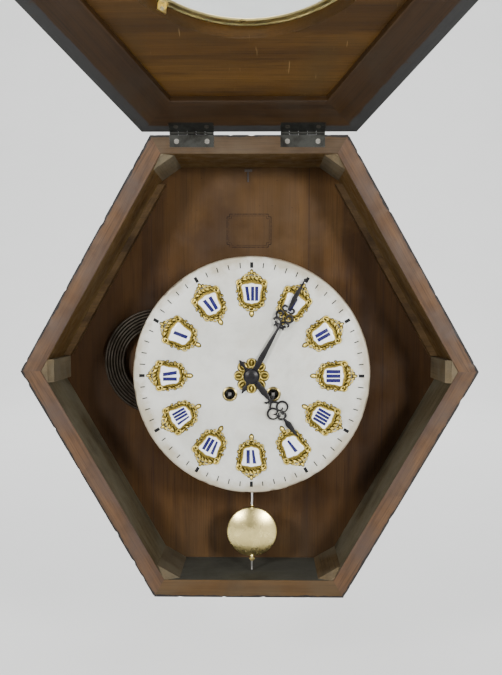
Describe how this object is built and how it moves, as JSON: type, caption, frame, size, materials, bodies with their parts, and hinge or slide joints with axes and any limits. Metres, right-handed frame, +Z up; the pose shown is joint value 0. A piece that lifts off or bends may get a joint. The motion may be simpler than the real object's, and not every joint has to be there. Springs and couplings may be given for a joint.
{
  "type": "pendulum wall clock",
  "caption": "Hexagonal wooden wall clock with a top-hinged glazed cover swung open over a round stone dial, gong, striking movement and short pendulum.",
  "frame": {"origin": "centre of the hanging hole in the steel plate, at the case's back face", "axes": "+X to the right seen from the front, +Y back towards the wall, +Z up; the dial faces -Y"},
  "size_m": [0.4972, 0.5182, 0.7743],
  "materials": {
    "painted_wood": "ebonised, worn satin",
    "inner_wood": "stained, dusty, matte",
    "cover_wood": "stained, satin",
    "steel": "aged bright",
    "dark_iron": "dark, oxidised",
    "black_steel": "blackened, satin",
    "aged_brass": "tarnished",
    "polished_brass": "polished",
    "gilt": "fire-gilt, soft sheen",
    "glass": "clear",
    "alabaster": "polished, slightly mottled",
    "enamel": "glossy white"
  },
  "bodies": {
    "case": {"board_top": "painted_wood", "board_bottom": "painted_wood", "board_upper_left": "painted_wood", "board_upper_right": "painted_wood", "board_lower_left": "painted_wood", "board_lower_right": "painted_wood", "back_panel": "inner_wood", "corner_blocks": "inner_wood", "back_battens": "inner_wood", "hanging_plate": "steel", "hanging_staple": "dark_iron", "case_screws": "steel", "hinge_case_leaves": "aged_brass", "hinge_case_screws": "steel", "hinge_pins": "steel", "dial_plate": "alabaster", "numeral_cartouches": "gilt", "numeral_plaques": "enamel", "centre_rosette": "gilt", "winding_grommets": "gilt", "movement_front_plate": "aged_brass", "movement_back_plate": "aged_brass", "plate_pillars_and_dial_feet": "aged_brass", "movement_standoffs": "steel", "movement_screws": "steel", "back_cock": "aged_brass", "gong_coil": "black_steel", "gong_block": "dark_iron"},
    "cover": {"cover_rails": "cover_wood", "cover_panel": "cover_wood", "cover_moulding": "painted_wood", "bezel": "polished_brass", "glass": "glass", "bezel_clips": "aged_brass", "clip_screws": "steel", "hinge_cover_leaves": "aged_brass", "hinge_cover_screws": "steel"},
    "minute_hand": {"minute_hand": "black_steel", "cannon_pinion": "steel", "hand_boss": "black_steel"},
    "hour_hand": {"hour_hand": "black_steel", "hour_wheel": "aged_brass"},
    "minute_wheel": {"minute_wheel": "aged_brass"},
    "going_barrel": {"going_barrel": "aged_brass"},
    "going_winding_arbor": {"going_winding_arbor": "steel"},
    "going_second_wheel": {"going_second_wheel": "aged_brass"},
    "centre_wheel": {"centre_wheel": "aged_brass"},
    "third_wheel": {"third_wheel": "aged_brass"},
    "escape_wheel": {"escape_wheel": "aged_brass"},
    "strike_barrel": {"strike_barrel": "aged_brass"},
    "strike_winding_arbor": {"strike_winding_arbor": "steel"},
    "strike_second_wheel": {"strike_second_wheel": "aged_brass"},
    "strike_pin_wheel": {"strike_pin_wheel": "aged_brass"},
    "strike_fly": {"strike_fly": "aged_brass"},
    "anchor": {"anchor_and_crutch": "steel"},
    "pendulum": {"suspension_spring": "steel", "pendulum_rod": "steel"},
    "bob": {"pendulum_bob": "polished_brass"},
    "rating_nut": {"rating_nut": "polished_brass"},
    "hammer": {"hammer": "aged_brass"}
  },
  "joints": [
    {"name": "cover_hinge", "type": "hinge", "parent": "case", "child": "cover", "pos_m": [0, -0.1022, 0.0438], "axis": [-1, 0, 0], "range_deg": [-122.5, 45]},
    {"name": "minute_hand_turn", "type": "hinge", "parent": "case", "child": "minute_hand", "pos_m": [0.003, -0.118, -0.2036], "axis": [0, 1, 0], "continuous": true},
    {"name": "hour_hand_turn", "type": "hinge", "parent": "case", "child": "hour_hand", "pos_m": [0.003, -0.115, -0.2036], "axis": [0, 1, 0], "continuous": true},
    {"name": "minute_wheel_turn", "type": "hinge", "parent": "case", "child": "minute_wheel", "pos_m": [0.009, -0.1004, -0.19321], "axis": [0, 1, 0], "continuous": true},
    {"name": "third_wheel_turn", "type": "hinge", "parent": "case", "child": "third_wheel", "pos_m": [-0.00017, -0.0846, -0.18564], "axis": [0, 1, 0], "continuous": true},
    {"name": "escape_wheel_turn", "type": "hinge", "parent": "case", "child": "escape_wheel", "pos_m": [0.003, -0.0808, -0.17102], "axis": [0, 1, 0], "continuous": true},
    {"name": "centre_wheel_turn", "type": "hinge", "parent": "case", "child": "centre_wheel", "pos_m": [0.003, -0.095, -0.2036], "axis": [0, 1, 0], "continuous": true},
    {"name": "going_second_turn", "type": "hinge", "parent": "case", "child": "going_second_wheel", "pos_m": [0.02188, -0.0927, -0.19948], "axis": [0, 1, 0], "continuous": true},
    {"name": "going_barrel_turn", "type": "hinge", "parent": "case", "child": "going_barrel", "pos_m": [0.0255, -0.08, -0.2226], "axis": [0, 1, 0], "continuous": true},
    {"name": "strike_pin_wheel_turn", "type": "hinge", "parent": "case", "child": "strike_pin_wheel", "pos_m": [-0.02053, -0.088, -0.1821], "axis": [0, 1, 0], "continuous": true},
    {"name": "strike_second_turn", "type": "hinge", "parent": "case", "child": "strike_second_wheel", "pos_m": [-0.01588, -0.0927, -0.19948], "axis": [0, 1, 0], "continuous": true},
    {"name": "strike_barrel_turn", "type": "hinge", "parent": "case", "child": "strike_barrel", "pos_m": [-0.0195, -0.08, -0.2226], "axis": [0, 1, 0], "continuous": true},
    {"name": "strike_fly_turn", "type": "hinge", "parent": "case", "child": "strike_fly", "pos_m": [-0.01429, -0.081, -0.17129], "axis": [0, 1, 0], "continuous": true},
    {"name": "going_winding_turn", "type": "hinge", "parent": "case", "child": "going_winding_arbor", "pos_m": [0.0255, -0.1, -0.2226], "axis": [0, 1, 0], "range_deg": [0, 1440]},
    {"name": "strike_winding_turn", "type": "hinge", "parent": "case", "child": "strike_winding_arbor", "pos_m": [-0.0195, -0.1, -0.2226], "axis": [0, 1, 0], "range_deg": [0, 1440]},
    {"name": "pendulum_swing", "type": "hinge", "parent": "case", "child": "pendulum", "pos_m": [0.003, -0.0655, -0.1596], "axis": [0, 1, 0], "range_deg": [-3.5, 3.5]},
    {"name": "anchor_rock", "type": "hinge", "parent": "case", "child": "anchor", "pos_m": [0.003, -0.0808, -0.1596], "axis": [0, 1, 0], "range_deg": [-3.5, 3.5]},
    {"name": "bob_slide", "type": "slide", "parent": "pendulum", "child": "bob", "axis": [0, 0, 1], "range_m": [-0.0015, 0.0015]},
    {"name": "rating_nut_turn", "type": "hinge", "parent": "bob", "child": "rating_nut", "pos_m": [0.003, -0.0655, -0.4098], "axis": [0, 0, 1], "range_deg": [-1090, 1090]},
    {"name": "hammer_swing", "type": "hinge", "parent": "case", "child": "hammer", "pos_m": [-0.035, -0.022, -0.1896], "axis": [0, 1, 0], "range_deg": [-12, 0], "stiffness_Nm_per_rad": 0.02, "springref_deg": 5.73}
  ],
  "couplings": [
    {"joint": "hour_hand_turn", "follows": "minute_hand_turn", "ratio": 0.083333},
    {"joint": "minute_wheel_turn", "follows": "minute_hand_turn", "ratio": -0.33333},
    {"joint": "escape_wheel_turn", "follows": "third_wheel_turn", "ratio": -10},
    {"joint": "centre_wheel_turn", "follows": "third_wheel_turn", "ratio": -0.090909},
    {"joint": "going_second_turn", "follows": "third_wheel_turn", "ratio": 0.013636},
    {"joint": "going_barrel_turn", "follows": "third_wheel_turn", "ratio": -0.0020979},
    {"joint": "strike_second_turn", "follows": "strike_pin_wheel_turn", "ratio": -0.15385},
    {"joint": "strike_barrel_turn", "follows": "strike_pin_wheel_turn", "ratio": 0.023669},
    {"joint": "strike_fly_turn", "follows": "strike_pin_wheel_turn", "ratio": -8.75},
    {"joint": "anchor_rock", "follows": "pendulum_swing", "ratio": 1},
    {"joint": "rating_nut_turn", "follows": "bob_slide", "rad_per_m": 12566}
  ]
}
